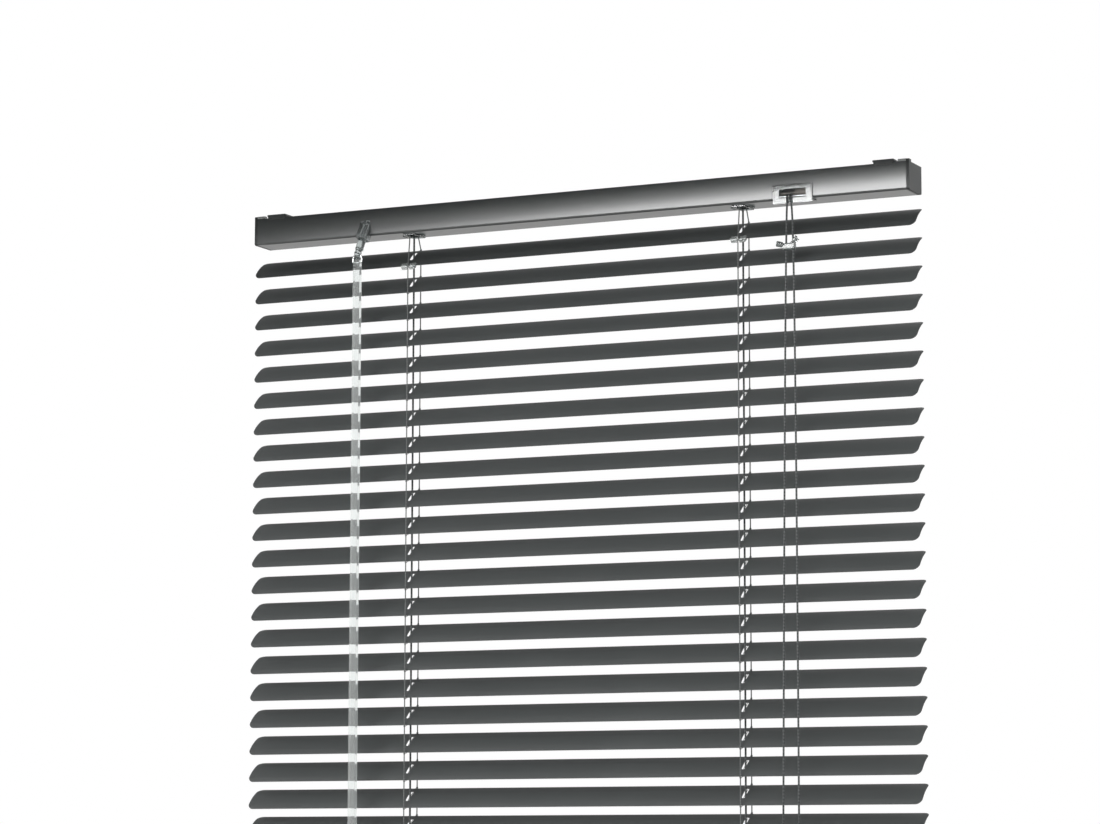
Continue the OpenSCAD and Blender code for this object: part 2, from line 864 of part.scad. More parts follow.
// Slat: crowned strip with round end corners and two route holes
module slat_blank() {
    intersection() {
        along_x(slat_len)
            translate([0, slat_arc_z])
                difference() {
                    circle(slat_arc_r + slat_t / 2, $fn = 180);
                    circle(slat_arc_r - slat_t / 2, $fn = 180);
                }
        translate([0, 0, -slat_crown])
            linear_extrude(2 * slat_crown)
                rounded(slat_len, slat_w, slat_corner);
    }
}

module slat(i) {
    color(anthracite)
        translate([0, 0, first_z - (i - 1) * slat_pitch])
            rotate([slat_tilt, 0, 0])
                difference() {
                    slat_blank();
                    for (side = [-1, 1])
                        translate([side * ladder_x, 0, -slat_crown])
                            linear_extrude(2 * slat_crown)
                                rounded(route_w, route_len, route_w / 2 - eps);
                }
}

// First-slat clips: clear pieces folded over the slat's front edge, open for the string
module slat_band(grow) {
    difference() {
        translate([0, slat_arc_z])
            circle(slat_arc_r + slat_t / 2 + grow, $fn = 180);
        translate([0, slat_arc_z])
            circle(slat_arc_r - slat_t / 2 - grow, $fn = 180);
    }
}

module slat_clip_section() {
    wall = 0.8;
    reach = clip_nose + clip_reach;
    intersection() {
        difference() {
            slat_band(fit + wall);
            intersection() {
                slat_band(fit);
                translate([-slat_w / 2 - fit, -slat_w / 2])
                    square(slat_w);
            }
        }
        union() {
            translate([clip_front, -slat_w / 2])
                square([reach, slat_w]);
            intersection() {
                translate([clip_front, -slat_w / 2])
                    square([reach + 2, slat_w]);
                translate([0, slat_arc_z])
                    circle(slat_arc_r, $fn = 180);
            }
        }
    }
}

module slat_clips() {
    notch = 2 * string_r + 1.2;
    color(clear_plastic)
        for (side = [-1, 1])
            translate([side * ladder_x, 0, first_z])
                rotate([slat_tilt, 0, 0])
                    difference() {
                        intersection() {
                            along_x(clip_w)
                                slat_clip_section();
                            translate([0, clip_front + slat_w / 2, 0])
                                linear_extrude(2 * slat_w, center = true)
                                    rounded(clip_w, slat_w, 2);
                        }
                        translate([-notch / 2, -string_u - 4, -4])
                            cube([notch, 4 + string_gap + clip_reach + 2 * fit, 8]);
                    }
}

// Bottom rail: hollow section under a slat-shaped crown
module bottom_outline(inset) {
    half = slat_w / 2 - 0.3 - inset;
    intersection() {
        translate([0, slat_arc_z])
            circle(slat_arc_r + slat_t / 2 - inset, $fn = 180);
        translate([0, -bottom_h / 2 + slat_crown / 2])
            rounded(2 * half, bottom_h + slat_crown - 2 * inset, 2.4 - inset);
    }
}

module bottom_place() {
    translate([0, 0, bottom_z])
        rotate([slat_tilt, 0, 0])
            children();
}

module bottom_rail() {
    color(anthracite)
        bottom_place()
            difference() {
                along_x(slat_len - 2 * cap_wall)
                    difference() {
                        bottom_outline(0);
                        bottom_outline(bottom_t);
                    }
                for (side = [-1, 1]) {
                    translate([side * ladder_x, 0, -2])
                        linear_extrude(2 * slat_crown + 2)
                            rounded(route_w, route_len - 2, route_w / 2 - eps);
                    translate([side * ladder_x, 0, -2 * bottom_h])
                        cylinder(h = 2 * bottom_h - 4, r = plug_r + fit);
                }
            }
}

module bottom_cap(side) {
    color(anthracite)
        bottom_place()
            translate([side * (slat_len - cap_wall) / 2, 0, 0]) {
                along_x(cap_wall)
                    bottom_outline(0);
                translate([-side * (cap_wall + 5) / 2, 0, 0])
                    along_x(5 + eps)
                        difference() {
                            bottom_outline(bottom_t + fit);
                            bottom_outline(bottom_t + 1.2);
                        }
            }
}

module bottom_cap_left() { bottom_cap(-1); }
module bottom_cap_right() { bottom_cap(1); }

// Cord plugs: buttons pressed into the bottom rail's underside below each cord
plug_r = 4;
plug_head_r = 6;

module cord_plugs() {
    base = -bottom_h / 2 + slat_crown / 2 - (bottom_h + slat_crown) / 2;
    color(anthracite)
        bottom_place()
            for (side = [-1, 1])
                translate([side * ladder_x, 0, base]) {
                    translate([0, 0, -1.4])
                        rotate_extrude()
                            polygon([[0, 0], [plug_head_r - 1, 0], [plug_head_r, 0.8], [plug_head_r, 1.4], [0, 1.4]]);
                    translate([0, 0, -eps])
                        difference() {
                            cylinder(h = 4, r = plug_r);
                            translate([0, 0, 1])
                                cylinder(h = 4, r = plug_r - 1);
                        }
                }
}

// Pull cords: the free ends of the lift cords
module pull_cord(i) {
    color(cord_grey)
        swept(pull_route(i), cord_r, 8, [1, 0, 0]);
}

module pull_cord_left() { pull_cord(0); }
module pull_cord_right() { pull_cord(1); }

// Cord equaliser: block that both cords run through, with two ribbed breakaway arms before it
module cord_equaliser() {
    block = [9, 5.2, 5];
    block_y = -0.8;
    core_r = 1.2;
    rib_r = 2.2;
    rib_t = 0.8;
    rib_pitch = 1.6;
    arm_y = -2.4;
    arm_from = 3;
    arm_to = 9.6;
    color(cord_grey)
        translate(equaliser_at)
            difference() {
                union() {
                    translate([0, block_y, 0])
                        along_x(block[0])
                            rounded(block[1], block[2], 1);
                    for (rise = [40, 165])
                        translate([0, arm_y, 0])
                            rotate([0, -rise, 0]) {
                                translate([(arm_from + arm_to) / 2, 0, 0])
                                    along_x(arm_to - arm_from)
                                        circle(core_r);
                                for (k = [0:2])
                                    translate([arm_to - rib_t / 2 - k * rib_pitch, 0, 0])
                                        along_x(rib_t)
                                            circle(rib_r);
                            }
                }
                for (i = [0, 1])
                    translate(-equaliser_at)
                        stretch(pull_fall(i, 0.04), pull_fall(i, 0.09), cord_r + clear);
            }
}

// Tassel: turned pull with a flared foot and a blind bore for the cord
module tassel(i) {
    at = pull_fall(i, 1);
    color(anthracite)
        translate([at[0], at[1], at[2] + tassel_bore - tassel_len])
            difference() {
                rotate_extrude()
                    polygon([
                        [0, 0], [tassel_r - 0.8, 0], [tassel_r, 0.8], [tassel_r, 3], [tassel_r * 0.86, tassel_len * 0.35],
                        [tassel_r * 0.62, tassel_len * 0.7], [tassel_r * 0.5, tassel_len - 1], [tassel_r * 0.3, tassel_len],
                        [0, tassel_len]
                    ]);
                translate([0, 0, tassel_len - tassel_bore - clear])
                    cylinder(h = tassel_bore + 1, r = cord_r + clear);
            }
}

module tassel_left() { tassel(0); }
module tassel_right() { tassel(1); }

headrail();
end_cap_left();
end_cap_right();
bracket_left();
bracket_right();
tilt_rod();
drum_left();
drum_right();
cradle_left();
cradle_right();
tilter_housing();
tilter_gear();
tilter_worm();
wand_hook();
wand();
wand_grip();
cord_lock_body();
cord_lock_roller();
cord_lock_pin();
lift_cord_left();
lift_cord_right();
ladder_front();
ladder_back();
ladder_front_ends();
ladder_back_ends();
ladder_left_lead();
ladder_right_lead();
slat_clips();
bottom_rail();
bottom_cap_left();
bottom_cap_right();
cord_plugs();
cord_equaliser();
pull_cord_left();
pull_cord_right();
tassel_left();
tassel_right();
for (i = [1:slat_count])
    slat(i);
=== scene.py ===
import json
import math

import bmesh
import bpy
from mathutils import Matrix, Vector


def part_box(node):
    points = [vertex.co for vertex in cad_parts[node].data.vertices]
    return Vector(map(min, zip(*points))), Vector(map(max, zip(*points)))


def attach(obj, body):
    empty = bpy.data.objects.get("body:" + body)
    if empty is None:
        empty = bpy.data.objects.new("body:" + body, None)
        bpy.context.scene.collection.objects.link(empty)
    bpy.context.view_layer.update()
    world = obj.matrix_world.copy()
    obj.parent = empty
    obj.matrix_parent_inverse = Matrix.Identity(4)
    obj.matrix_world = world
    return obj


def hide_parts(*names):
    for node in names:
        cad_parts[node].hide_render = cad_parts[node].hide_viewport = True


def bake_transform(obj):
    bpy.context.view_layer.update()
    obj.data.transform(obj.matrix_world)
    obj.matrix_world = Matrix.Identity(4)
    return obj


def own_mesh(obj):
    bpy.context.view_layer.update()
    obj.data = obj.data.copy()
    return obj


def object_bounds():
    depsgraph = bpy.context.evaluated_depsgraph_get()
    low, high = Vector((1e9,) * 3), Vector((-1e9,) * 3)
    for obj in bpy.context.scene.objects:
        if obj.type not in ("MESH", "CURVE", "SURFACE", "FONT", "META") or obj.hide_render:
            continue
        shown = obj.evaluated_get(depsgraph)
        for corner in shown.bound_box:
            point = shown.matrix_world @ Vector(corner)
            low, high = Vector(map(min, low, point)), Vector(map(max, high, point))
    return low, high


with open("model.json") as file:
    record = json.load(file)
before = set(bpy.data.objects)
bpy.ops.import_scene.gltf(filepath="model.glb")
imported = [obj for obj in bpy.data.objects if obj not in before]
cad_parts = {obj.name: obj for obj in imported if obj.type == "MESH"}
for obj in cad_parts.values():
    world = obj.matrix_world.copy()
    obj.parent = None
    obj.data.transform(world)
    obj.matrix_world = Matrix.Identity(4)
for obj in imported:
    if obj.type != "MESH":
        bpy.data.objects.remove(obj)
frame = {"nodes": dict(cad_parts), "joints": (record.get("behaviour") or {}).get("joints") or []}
cad_low, cad_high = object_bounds()
nodes = frame["nodes"]


# Brackets: two top-fixing clips, pressed from steel sheet and powder coated.
# Their hooks spring over the headrail's top edges, and a screw holds each one.
def linear(hex_colour):
    """The linear colour, with alpha, of an sRGB hex value."""
    parts = [int(hex_colour[i:i + 2], 16) / 255 for i in (1, 3, 5)]
    return [p / 12.92 if p <= 0.04045 else ((p + 0.055) / 1.055) ** 2.4 for p in parts] + [1.0]


def add(owner, kind, sockets=None, **settings):
    """Adds a node with its settings, and sets or links its sockets."""
    node = owner.node_tree.nodes.new(kind)
    for name, value in settings.items():
        setattr(node, name, value)
    for key, value in (sockets or {}).items():
        if isinstance(value, bpy.types.NodeSocket):
            owner.node_tree.links.new(value, node.inputs[key])
        else:
            node.inputs[key].default_value = value
    return node


def new_finish(name, **sockets):
    """A material and its shader, with the sockets that are the same all over the surface."""
    finish = bpy.data.materials.new(name)
    finish.use_nodes = True
    shader = finish.node_tree.nodes["Principled BSDF"]
    for key, value in sockets.items():
        shader.inputs[key.replace("_", " ")].default_value = value
    return finish, shader


def feed(finish, shader, **outputs):
    """Links node outputs to the shader's sockets."""
    for key, output in outputs.items():
        finish.node_tree.links.new(output, shader.inputs[key.replace("_", " ")])


def dress(finish, *names):
    """Gives CAD nodes their finish."""
    for name in names:
        nodes[name].data.materials.clear()
        nodes[name].data.materials.append(finish)


# A colour mix goes by socket numbers, because its sockets share their names
share, first_colour, second_colour, mixed_colour = 0, 6, 7, 2


def mottle(finish, shader, dark, light, patch, rough, grain, depth):
    """Colour and roughness in soft patches, and a grain of the given depth. Sizes in metres."""
    place = add(finish, "ShaderNodeTexCoord").outputs["Object"]
    cloud = add(finish, "ShaderNodeTexNoise",
                {"Vector": place, "Scale": 1 / patch, "Detail": 4.0}).outputs["Fac"]
    tone = add(finish, "ShaderNodeMix",
               {share: cloud, first_colour: linear(dark), second_colour: linear(light)},
               data_type="RGBA")
    gloss = add(finish, "ShaderNodeMapRange",
                {"Value": cloud, "To Min": rough[0], "To Max": rough[1]})
    fine = add(finish, "ShaderNodeTexNoise", {"Vector": place, "Scale": 1 / grain, "Detail": 2.0})
    relief = add(finish, "ShaderNodeBump",
                 {"Height": fine.outputs["Fac"], "Strength": 1.0, "Distance": depth})
    feed(finish, shader, Base_Color=tone.outputs[mixed_colour], Roughness=gloss.outputs[0],
         Normal=relief.outputs[0])


# Powder coat: a baked polyester skin, dull with a fine orange peel
powder_coat, shader = new_finish("powder_coated_steel", IOR=1.5)
mottle(powder_coat, shader, dark="#454848", light="#505353", patch=0.03, rough=(0.42, 0.56),
       grain=0.0008, depth=0.000012)
dress(powder_coat, "bracket_left", "bracket_right")


# Headrail: a channel roll-formed from coil-painted steel, with its lips turned in.
# The paint is a semi-gloss enamel, so the front mirrors what is before it as a soft gradient.
coil_paint, shader = new_finish("coil_painted_steel", IOR=1.5, Coat_Weight=0.8, Coat_Roughness=0.16)
mottle(coil_paint, shader, dark="#434646", light="#454848", patch=0.5, rough=(0.275, 0.285),
       grain=0.0016, depth=0.000003)
dress(coil_paint, "headrail")


# End caps: ABS mouldings pushed into the rail's ends, with a dull spark-eroded grain.
# The part of each cap's lug above the rail, which the bracket's tooth rides over, is coloured pale
# grey.
grained = dict(dark="#2c2f2f", light="#363939", patch=0.02, rough=(0.5, 0.62), grain=0.0005,
               depth=0.00002)
caps_abs, shader = new_finish("grained_abs", IOR=1.53)
mottle(caps_abs, shader, **grained)
lugged_abs, shader = new_finish("pale_lug_abs", IOR=1.53)
mottle(lugged_abs, shader, **grained)
# Colours the cap pale grey above the rail's top and inside the rail's ends; the rest keeps the
# grained tone.
pale_lug_tone = linear("#a3a6a5")
rail_end, rail_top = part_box("headrail")[1].x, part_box("headrail")[1].z
lug_foot = rail_top + 0.0002
place = add(lugged_abs, "ShaderNodeTexCoord").outputs["Object"]
spot = add(lugged_abs, "ShaderNodeSeparateXYZ", {0: place})
inward = add(lugged_abs, "ShaderNodeMath", {0: spot.outputs["X"]}, operation="ABSOLUTE")
on_lug = add(lugged_abs, "ShaderNodeMath", {0: spot.outputs["Z"], 1: lug_foot},
             operation="GREATER_THAN")
past_wall = add(lugged_abs, "ShaderNodeMath", {0: inward.outputs[0], 1: rail_end},
                operation="LESS_THAN")
pale_lug_mask = add(lugged_abs, "ShaderNodeMath", {0: on_lug.outputs[0], 1: past_wall.outputs[0]},
           operation="MULTIPLY")
plain = shader.inputs["Base Color"].links[0].from_socket
tone = add(lugged_abs, "ShaderNodeMix",
           {share: pale_lug_mask.outputs[0], first_colour: plain, second_colour: pale_lug_tone}, data_type="RGBA")
feed(lugged_abs, shader, Base_Color=tone.outputs[mixed_colour])
dress(lugged_abs, "end_cap_left", "end_cap_right")


# Tilt rod, wand bail and lock bar: steel drawn to shape, the rod a hexagonal bar that carries
# both drums and the worm wheel. Drawing leaves bright and dull lines along the metal.
drawn_steel, shader = new_finish("drawn_steel", Metallic=1.0)
lines_per_metre = (60, 4000, 4000)  # 17 mm long and 0.25 mm wide
place = add(drawn_steel, "ShaderNodeTexCoord").outputs["Object"]
along = add(drawn_steel, "ShaderNodeMapping", {"Vector": place, "Scale": lines_per_metre})
lines = add(drawn_steel, "ShaderNodeTexNoise",
            {"Vector": along.outputs[0], "Scale": 1.0, "Detail": 3.0}).outputs["Fac"]
tone = add(drawn_steel, "ShaderNodeMix",
           {share: lines, first_colour: linear("#b4b6b8"), second_colour: linear("#d9dbdc")},
           data_type="RGBA")
gloss = add(drawn_steel, "ShaderNodeMapRange", {"Value": lines, "To Min": 0.16, "To Max": 0.34})
feed(drawn_steel, shader, Base_Color=tone.outputs[mixed_colour], Roughness=gloss.outputs[0])
dress(drawn_steel, "tilt_rod", "wand_hook", "cord_lock_pin")


# Tilt drums and worm wheel: white acetal mouldings, pressed on the rod.
# Acetal lets a little light in, so its edges look soft and waxy.
acetal, shader = new_finish("white_acetal", IOR=1.48, Subsurface_Weight=0.08,
                            Subsurface_Scale=0.002)
mottle(acetal, shader, dark="#d6d6d1", light="#e2e2de", patch=0.01, rough=(0.38, 0.48),
       grain=0.0006, depth=0.000008)
dress(acetal, "drum_left", "drum_right", "tilter_gear")


# Ladder cradles, worm and cord lock: clear polycarbonate mouldings, snapped into the rail.
# Flow in the mould leaves a faint ripple, and the ejected faces are a little less bright.
clear_moulding, shader = new_finish("clear_polycarbonate", IOR=1.58, Transmission_Weight=0.91)
mottle(clear_moulding, shader, dark="#b2b9b9", light="#cbd1d0", patch=0.006, rough=(0.05, 0.16),
       grain=0.0022, depth=0.00003)
dress(clear_moulding, "cradle_left", "cradle_right", "tilter_worm", "cord_lock_body")


# Tilter housing: a polycarbonate moulding too, with its snout through the rail's front edge.
# Its walls are thick, with a haze in them, so it takes on the rail's grey.
hazed_moulding, shader = new_finish("hazed_polycarbonate", IOR=1.58, Transmission_Weight=0.78)
mottle(hazed_moulding, shader, dark="#c6cccc", light="#dde1e1", patch=0.006, rough=(0.04, 0.12),
       grain=0.0022, depth=0.00003)
dress(hazed_moulding, "tilter_housing")


# Wand: an extruded hexagonal acrylic bar with a moulded grip, hung on the worm's eye by its bail.
# Extrusion draws faint lines down the bar, which break up what is seen through it.
acrylic, shader = new_finish("clear_acrylic", IOR=1.49, Transmission_Weight=0.84)
streaks_per_metre = (900, 900, 8)  # 1.1 mm wide and 125 mm long
streak_depth = 0.00001
place = add(acrylic, "ShaderNodeTexCoord").outputs["Object"]
down = add(acrylic, "ShaderNodeMapping", {"Vector": place, "Scale": streaks_per_metre})
drawn = add(acrylic, "ShaderNodeTexNoise",
            {"Vector": down.outputs[0], "Scale": 1.0, "Detail": 2.0}).outputs["Fac"]
tone = add(acrylic, "ShaderNodeMix",
           {share: drawn, first_colour: linear("#eef3f2"), second_colour: linear("#fbfdfc")},
           data_type="RGBA")
gloss = add(acrylic, "ShaderNodeMapRange", {"Value": drawn, "To Min": 0.02, "To Max": 0.09})
ripple = add(acrylic, "ShaderNodeBump",
             {"Height": drawn, "Strength": 1.0, "Distance": streak_depth})
feed(acrylic, shader, Base_Color=tone.outputs[mixed_colour], Roughness=gloss.outputs[0],
     Normal=ripple.outputs[0])
dress(acrylic, "wand", "wand_grip")


# Cord lock's pinch roller: turned and knurled from brass bar, and free to slide in the lock.
# Handling has dulled it to a grey brown.
brass, shader = new_finish("turned_brass", Metallic=1.0)
mottle(brass, shader, dark="#575452", light="#86837f", patch=0.0015, rough=(0.3, 0.48),
       grain=0.0004, depth=0.00001)
dress(brass, "cord_lock_roller")


# Slats: strip aluminium, stove enamelled in anthracite, crowned and punched in the forming line.
# The enamel is satin, with a grain too fine to see and slow drifts of tone along the strip.
enamel, shader = new_finish("stove_enamelled_aluminium", IOR=1.45)
mottle(enamel, shader, dark="#444747", light="#4b4e4e", patch=0.09, rough=(0.44, 0.54),
       grain=0.0012, depth=0.000003)
slat_prefix = "slat_"
slat_names = sorted(name for name in nodes
                    if name.startswith(slat_prefix) and name[len(slat_prefix):].isdigit())
dress(enamel, *slat_names)


# First-slat clips: natural nylon, folded over the slat's front edge to keep the string in place.
# Uncoloured nylon is a little milky, so the clips read pale against the dark enamel.
nylon, shader = new_finish("natural_nylon", IOR=1.53, Transmission_Weight=0.86)
mottle(nylon, shader, dark="#dfe4e3", light="#f1f4f3", patch=0.004, rough=(0.1, 0.2),
       grain=0.0012, depth=0.00001)
dress(nylon, "slat_clips")


# Bottom rail: roll-formed and painted like the headrail, and hung on the ladders' ends.
# Its end caps and the buttons over the cords' knots are ABS mouldings, pushed in.
dress(coil_paint, "bottom_rail")
dress(caps_abs, "bottom_cap_left", "bottom_cap_right", "cord_plugs")


# Ladder strings: braided polyester, one at the front and one at the back of each ladder.
# The last stretch, under the lowest slat, is a piece of its own with its own mesh; on the real
# blind it folds up as the bottom rail rises.
def braided_tube(name, route, radius, sides=12):
    """A closed tube along the route, with a UV map of turns round it and metres along it."""
    points = [Vector(p) for p in route]
    last = len(points) - 1
    ways = [(points[min(i + 1, last)] - points[max(i - 1, 0)]).normalized()
            for i in range(last + 1)]
    tube = bmesh.new()
    turn = ways[0].to_track_quat("Z", "Y").to_matrix().to_4x4()
    ring = bmesh.ops.create_circle(tube, segments=sides, radius=radius, cap_ends=False,
                                   matrix=Matrix.Translation(points[0]) @ turn)["verts"]
    around = {vert: i / sides for i, vert in enumerate(ring)}
    reach = {vert: 0.0 for vert in ring}
    edges = list(tube.edges)
    run = 0.0
    for i in range(1, last + 1):
        grown = bmesh.ops.extrude_edge_only(tube, edges=edges)["geom"]
        ring = [g for g in grown if isinstance(g, bmesh.types.BMVert)]
        edges = [g for g in grown if isinstance(g, bmesh.types.BMEdge)]
        run += (points[i] - points[i - 1]).length
        for vert in ring:
            before = next(e.other_vert(vert) for e in vert.link_edges
                          if e.other_vert(vert) in around)
            around[vert], reach[vert] = around[before], run
        bend = ways[i - 1].rotation_difference(ways[i]).to_matrix()
        bmesh.ops.rotate(tube, verts=ring, cent=points[i - 1], matrix=bend)
        bmesh.ops.translate(tube, verts=ring, vec=points[i] - points[i - 1])
    uv = tube.loops.layers.uv.new("braid")
    for face in tube.faces:
        face.smooth = True
        over_seam = max(around[v] for v in face.verts) > 0.75
        for loop in face.loops:
            u = around[loop.vert]
            loop[uv].uv = (u + 1 if over_seam and u < 0.25 else u, reach[loop.vert])
    bmesh.ops.holes_fill(tube, edges=[e for e in tube.edges if e.is_boundary], sides=0)
    bmesh.ops.recalc_face_normals(tube, faces=tube.faces)
    mesh = bpy.data.meshes.new(name)
    tube.to_mesh(mesh)
    tube.free()
    piece = bpy.data.objects.new(name, mesh)
    bpy.context.scene.collection.objects.link(piece)
    return piece


def braid(name, dark, light, strands, pitch, depth):
    """Braided polyester: two sets of yarns that cross, dull with a dry sheen.

    The yarns are drawn coarser than real ones, to show.
    """
    finish, shader = new_finish(name, IOR=1.5, Roughness=0.78, Sheen_Weight=0.25,
                                Sheen_Roughness=0.5)
    band = 2 * math.pi / 10  # the length after which the wave texture repeats
    place = add(finish, "ShaderNodeUVMap", uv_map="braid").outputs[0]
    yarns = []
    for hand in (1, -1):
        lay = add(finish, "ShaderNodeMapping",
                  {"Vector": place, "Scale": (strands * band, hand * band / pitch, 1)})
        yarns.append(add(finish, "ShaderNodeTexWave", {"Vector": lay.outputs[0], "Scale": 1.0},
                         bands_direction="DIAGONAL").outputs["Fac"])
    crown = add(finish, "ShaderNodeMath", {0: yarns[0], 1: yarns[1]}, operation="MAXIMUM")
    # The colour follows the braid's height: dark in the grooves between the yarns, light on their
    # crowns. The dark in the grooves is painted shade.
    tone = add(finish, "ShaderNodeMix", {share: crown.outputs[0], first_colour: linear(dark),
                                         second_colour: linear(light)}, data_type="RGBA")
    relief = add(finish, "ShaderNodeBump",
                 {"Height": crown.outputs[0], "Strength": 1.0, "Distance": depth})
    feed(finish, shader, Base_Color=tone.outputs[mixed_colour], Normal=relief.outputs[0])
    return finish


joints = {joint["name"]: joint for joint in frame["joints"]}
string_braid = braid("braided_ladder_string", dark="#3c3f3f", light="#7d8080", strands=3,
                     pitch=0.0012, depth=0.00008)
string_radius = 0.00045
string_sides = 10
string_at = {face: Vector(joints[f"ladder_{face}_turn"]["pos_m"]) for face in ("front", "back")}
ladder_at = {side: Vector((sum(corner.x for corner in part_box("cradle_" + side)) / 2, 0, 0))
             for side in ("left", "right")}
first_axis = Vector(joints["slat_01_tilt"]["pos_m"])
last_axis = Vector(joints[slat_names[-1] + "_tilt"]["pos_m"])
bottom_axis = Vector(joints["bottom_tilt"]["pos_m"])
across = (string_at["back"] - string_at["front"]).normalized()
above = Vector((0, -across.z, across.y))
hold_in = 0.0019
steps = 2 * len(slat_names)
drop_steps, hold_steps = 6, 3
for face, way in (("front", 1), ("back", -1)):
    node = "ladder_" + face
    for side, ladder in ladder_at.items():
        top = ladder + string_at[face]
        last = top + last_axis - first_axis
        low = top + bottom_axis - first_axis
        run = [top.lerp(last, i / steps) for i in range(steps + 1)]
        string = braided_tube(f"string_{side}_{face}", run, string_radius, string_sides)
        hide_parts(node)
        end = [last.lerp(low, i / drop_steps) for i in range(drop_steps)]
        end += [low + across * way * hold_in * i / hold_steps for i in range(hold_steps + 1)]
        tail = braided_tube(f"string_end_{side}_{face}", end, string_radius, string_sides)
        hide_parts(node + "_ends")
        for piece in (string, tail):
            piece.data.materials.append(string_braid)
            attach(piece, node)
        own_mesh(tail)


# Ladder leads: the same strings above the first slat, from the drum through the cradle to the
# slat's edges. They bend between the fixed rail and the turning slat.
rod_axis = Vector(joints["tilt_turn"]["pos_m"])
rail_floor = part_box("headrail")[0].z
leave = 0.00615
exit_y = 0.007
rail_steps, free_steps = 4, 12
for side, ladder in ladder_at.items():
    for face, way in (("front", -1), ("back", 1)):
        end = ladder + string_at[face]
        start = ladder + Vector((0, way * leave, rod_axis.z))
        out = ladder + Vector((0, way * exit_y, rail_floor))
        route = [start.lerp(out, i / rail_steps) for i in range(rail_steps)]
        route += [out.lerp(end, i / free_steps) for i in range(free_steps + 1)]
        lead = braided_tube(f"lead_{side}_{face}", route, string_radius, string_sides)
        lead.data.materials.append(string_braid)
        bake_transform(lead)
        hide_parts(f"ladder_{side}_lead")


# Ladder rungs: two thin polyester threads that carry each slat between the strings, either side
# of the lift cord. Each ends in a stitch round the string, and turns with its slat. The raised
# bottom rail presses the lowest ones flat.
rung_radius = 0.00022
rung_sides = 6
rung_steps = 4
rung_gap = 0.0013
edge_in = 0.0015
under = 0.0004
stitch_radius = 0.00062
stitch_rise = 0.00035
stitch_turns, turn_steps = 2, 10
stitch = []
for k in range(stitch_turns * turn_steps + 1):
    t = math.tau * k / turn_steps
    stitch.append(Vector((stitch_radius * math.cos(t), stitch_radius * math.sin(t),
                          stitch_rise * (t / math.tau - stitch_turns / 2))))
for name in slat_names:
    axis = Vector(joints[name + "_tilt"]["pos_m"])
    threads = []
    for ladder in ladder_at.values():
        a, b = (ladder + axis + string_at[face] - first_axis for face in ("front", "back"))
        for hand in (-1, 1):
            spread = Vector((hand * rung_gap, 0, 0))
            near = a + across * edge_in - above * under + spread
            far = b - across * edge_in - above * under + spread
            flat = [near.lerp(far, i / rung_steps) for i in range(rung_steps + 1)]
            threads.append([a, a.lerp(near, 0.5), *flat, b.lerp(far, 0.5), b])
        threads += [[knot + turn for turn in stitch] for knot in (a, b)]
    parts = [braided_tube(f"thread_{i}", route, rung_radius, rung_sides)
             for i, route in enumerate(threads)]
    rungs = bmesh.new()
    for part in parts:
        rungs.from_mesh(part.data)
        bpy.data.meshes.remove(part.data)
    mesh = bpy.data.meshes.new("rungs_" + name[-2:])
    rungs.to_mesh(mesh)
    rungs.free()
    piece = bpy.data.objects.new("rungs_" + name[-2:], mesh)
    bpy.context.scene.collection.objects.link(piece)
    mesh.materials.append(string_braid)
    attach(piece, name)
    if name == slat_names[-1]:
        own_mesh(piece)


# Lift cords: thicker braided polyester, knotted in the bottom rail, up through the slats' route
# holes, round the cradles and along the rail to the lock. Their lower ends rise with the bottom
# rail.
cord_braid = braid("braided_lift_cord", dark="#2c2f2f", light="#55595a", strands=4, pitch=0.0026,
                   depth=0.00012)
cord_radius = 0.00075
bend_radius = 0.003
rise_steps, bend_steps = 30, 6
settled = 0.012
swerve_from, swerve_to, swerve_y = 0.015, 0.006, 0.003
inner_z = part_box("lift_cord_left")[1].z - cord_radius
lock_low, lock_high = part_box("cord_lock_body")
lock_x = (lock_low.x + lock_high.x) / 2
lane_near, lane_far = lock_x - 0.001, lock_x - 0.0035
cord_in = Vector((0, -0.0104, -0.02075))
for side, pass_y, end_x in (("left", 0.0022, lane_near), ("right", 0.0, lane_far)):
    x = ladder_at[side].x
    foot = Vector((x, 0, bottom_axis.z))
    head = Vector((x, 0, inner_z - bend_radius))
    route = [foot.lerp(head, i / rise_steps) for i in range(rise_steps)]
    for k in range(bend_steps + 1):
        t = math.pi / 2 * k / bend_steps
        route.append(Vector((x + bend_radius * (1 - math.cos(t)), 0,
                             inner_z - bend_radius * (1 - math.sin(t)))))
    route += [Vector((x + settled, pass_y, inner_z)),
              Vector((end_x - swerve_from, pass_y, inner_z)),
              Vector((end_x - swerve_to, pass_y / 2 - swerve_y, inner_z)),
              Vector((end_x, cord_in.y, cord_in.z))]
    lift = braided_tube("cord_lift_" + side, route, cord_radius)
    lift.data.materials.append(cord_braid)
    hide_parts("lift_cord_" + side)
    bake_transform(lift)


